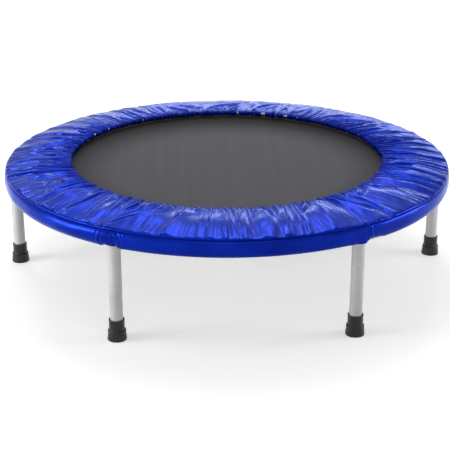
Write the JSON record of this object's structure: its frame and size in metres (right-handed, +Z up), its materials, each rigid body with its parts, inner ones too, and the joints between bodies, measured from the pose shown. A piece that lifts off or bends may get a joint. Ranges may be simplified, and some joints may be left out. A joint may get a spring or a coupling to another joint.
{
  "type": "mini trampoline",
  "caption": "Round low mini trampoline: tubular steel ring on screw-in legs with rubber feet, sprung woven mat and a gathered padded cover over the springs.",
  "frame": {"origin": "on the floor at the centre of the ring, midway between the six feet", "axes": "+Z up; +X through the axis of leg 1, with leg 4 opposite; +Y completes the right-handed frame"},
  "size_m": [0.9704, 0.965, 0.2456],
  "materials": {
    "silver_paint": "satin silver-grey paint",
    "zinc_steel": "bright zinc plate",
    "spring_steel": "zinc-plated drawn wire",
    "cap_rubber": "moulded black rubber",
    "cover_fabric": "glossy royal-blue coated cloth",
    "mat_mesh": "woven polypropylene mesh, matt grey",
    "webbing": "black polypropylene webbing",
    "elastic": "white braided elastic",
    "foam": "white closed-cell foam"
  },
  "bodies": {
    "frame": {"frame_ring": "silver_paint", "leg_bosses": "zinc_steel", "springs": "spring_steel", "pad_foam": "foam", "cover_top": "cover_fabric", "inner_elastic": "elastic", "cover_skirt": "cover_fabric", "skirt_elastic": "elastic"},
    "mat": {"jump_mat": "mat_mesh", "mat_band_top": "webbing", "mat_band_bottom": "webbing", "ring_loops": "webbing", "mat_rings": "zinc_steel"},
    "foot_1": {"foot_cap_1": "cap_rubber", "foot_washer_1": "zinc_steel"},
    "leg_1": {"leg_tube_1": "silver_paint", "leg_plug_1": "zinc_steel", "leg_stud_1": "zinc_steel"},
    "foot_2": {"foot_cap_2": "cap_rubber", "foot_washer_2": "zinc_steel"},
    "leg_2": {"leg_tube_2": "silver_paint", "leg_plug_2": "zinc_steel", "leg_stud_2": "zinc_steel"},
    "foot_3": {"foot_cap_3": "cap_rubber", "foot_washer_3": "zinc_steel"},
    "leg_3": {"leg_tube_3": "silver_paint", "leg_plug_3": "zinc_steel", "leg_stud_3": "zinc_steel"},
    "foot_4": {"foot_cap_4": "cap_rubber", "foot_washer_4": "zinc_steel"},
    "leg_4": {"leg_tube_4": "silver_paint", "leg_plug_4": "zinc_steel", "leg_stud_4": "zinc_steel"},
    "foot_5": {"foot_cap_5": "cap_rubber", "foot_washer_5": "zinc_steel"},
    "leg_5": {"leg_tube_5": "silver_paint", "leg_plug_5": "zinc_steel", "leg_stud_5": "zinc_steel"},
    "foot_6": {"foot_cap_6": "cap_rubber", "foot_washer_6": "zinc_steel"},
    "leg_6": {"leg_tube_6": "silver_paint", "leg_plug_6": "zinc_steel", "leg_stud_6": "zinc_steel"}
  },
  "joints": [
    {"name": "mat_bounce", "type": "slide", "parent": "frame", "child": "mat", "axis": [0, 0, 1], "range_m": [-0.06, 0], "stiffness_N_per_m": 9000, "deforming": ["springs"]},
    {"name": "leg_1_travel", "type": "slide", "parent": "frame", "child": "foot_1", "axis": [0, 0, 1], "range_m": [-0.018, 0]},
    {"name": "leg_1_turn", "type": "hinge", "parent": "foot_1", "child": "leg_1", "pos_m": [0.466, 0, 0.2], "axis": [0, 0, 1], "range_deg": [-4320.5, 0]},
    {"name": "leg_2_travel", "type": "slide", "parent": "frame", "child": "foot_2", "axis": [0, 0, 1], "range_m": [-0.018, 0]},
    {"name": "leg_2_turn", "type": "hinge", "parent": "foot_2", "child": "leg_2", "pos_m": [0.233, 0.40357, 0.2], "axis": [0, 0, 1], "range_deg": [-4320.5, 0]},
    {"name": "leg_3_travel", "type": "slide", "parent": "frame", "child": "foot_3", "axis": [0, 0, 1], "range_m": [-0.018, 0]},
    {"name": "leg_3_turn", "type": "hinge", "parent": "foot_3", "child": "leg_3", "pos_m": [-0.233, 0.40357, 0.2], "axis": [0, 0, 1], "range_deg": [-4320.5, 0]},
    {"name": "leg_4_travel", "type": "slide", "parent": "frame", "child": "foot_4", "axis": [0, 0, 1], "range_m": [-0.018, 0]},
    {"name": "leg_4_turn", "type": "hinge", "parent": "foot_4", "child": "leg_4", "pos_m": [-0.466, 0, 0.2], "axis": [0, 0, 1], "range_deg": [-4320.5, 0]},
    {"name": "leg_5_travel", "type": "slide", "parent": "frame", "child": "foot_5", "axis": [0, 0, 1], "range_m": [-0.018, 0]},
    {"name": "leg_5_turn", "type": "hinge", "parent": "foot_5", "child": "leg_5", "pos_m": [-0.233, -0.40357, 0.2], "axis": [0, 0, 1], "range_deg": [-4320.5, 0]},
    {"name": "leg_6_travel", "type": "slide", "parent": "frame", "child": "foot_6", "axis": [0, 0, 1], "range_m": [-0.018, 0]},
    {"name": "leg_6_turn", "type": "hinge", "parent": "foot_6", "child": "leg_6", "pos_m": [0.233, -0.40357, 0.2], "axis": [0, 0, 1], "range_deg": [-4320.5, 0]}
  ],
  "couplings": [
    {"joint": "leg_1_turn", "follows": "leg_1_travel", "rad_per_m": 4188.8},
    {"joint": "leg_2_turn", "follows": "leg_2_travel", "rad_per_m": 4188.8},
    {"joint": "leg_3_turn", "follows": "leg_3_travel", "rad_per_m": 4188.8},
    {"joint": "leg_4_turn", "follows": "leg_4_travel", "rad_per_m": 4188.8},
    {"joint": "leg_5_turn", "follows": "leg_5_travel", "rad_per_m": 4188.8},
    {"joint": "leg_6_turn", "follows": "leg_6_travel", "rad_per_m": 4188.8}
  ]
}
